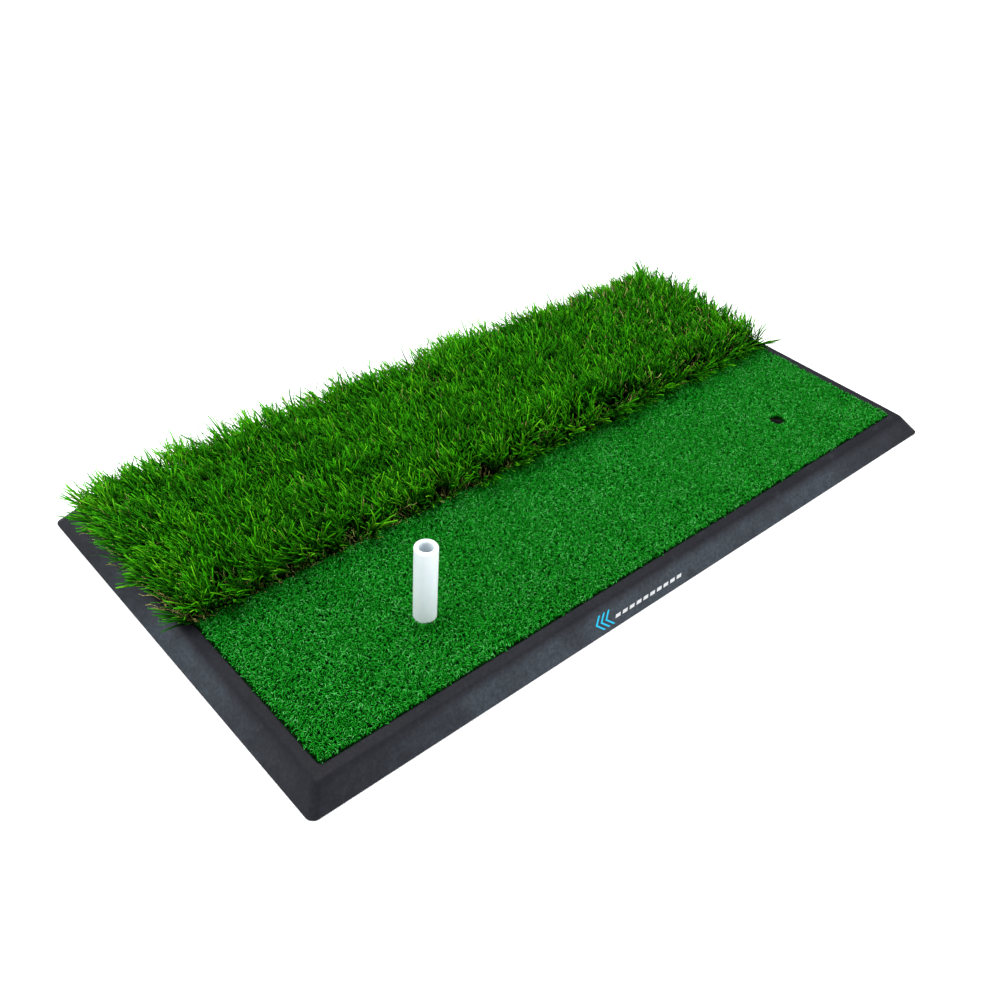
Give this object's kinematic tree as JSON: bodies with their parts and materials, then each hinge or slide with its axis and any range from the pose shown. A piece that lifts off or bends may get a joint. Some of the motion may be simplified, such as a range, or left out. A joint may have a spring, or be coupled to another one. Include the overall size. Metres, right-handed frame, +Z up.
{
  "type": "golf hitting mat",
  "caption": "Rubber-tray golf hitting mat with a short fairway strip, a long rough strip and a hollow rubber tee that bends and pulls out from below.",
  "frame": {"origin": "middle of the tray's outline on the plane that it lies on", "axes": "+X along the mat, away from the target; +Y from the fairway strip to the rough strip; +Z up"},
  "size_m": [0.61, 0.32, 0.0765],
  "materials": {
    "tray_rubber": "matte moulded",
    "glue": "dried film",
    "foam": "closed-cell foam",
    "latex": "matte coat",
    "cloth": "woven",
    "fairway_turf": "curled yarn",
    "rough_turf": "long flat blades",
    "thatch": "curly yarn",
    "tee_rubber": "satin",
    "ink_blue": "printed",
    "ink_white": "printed"
  },
  "bodies": {
    "mat": {"base_tray": "tray_rubber", "pad_glue": "glue", "shock_pad": "foam", "turf_glue": "glue", "fairway_latex": "latex", "fairway_cloth": "cloth", "fairway_pile": "fairway_turf", "rough_latex": "latex", "rough_cloth": "cloth", "rough_thatch": "thatch", "rough_pile": "rough_turf", "print_chevrons": "ink_blue", "print_dashes": "ink_white"},
    "tee_foot": {"tee_foot": "tee_rubber"},
    "tee_tube": {"tee_tube": "tee_rubber"}
  },
  "joints": [
    {"name": "tee_pull", "type": "slide", "parent": "mat", "child": "tee_foot", "axis": [0, 0, 1], "range_m": [-0.08, 0]},
    {"name": "tee_bend", "type": "hinge", "parent": "tee_foot", "child": "tee_tube", "pos_m": [-0.169, -0.087, 0.033], "axis": [0, 1, 0], "range_deg": [-55, 55], "stiffness_Nm_per_rad": 0.3}
  ]
}
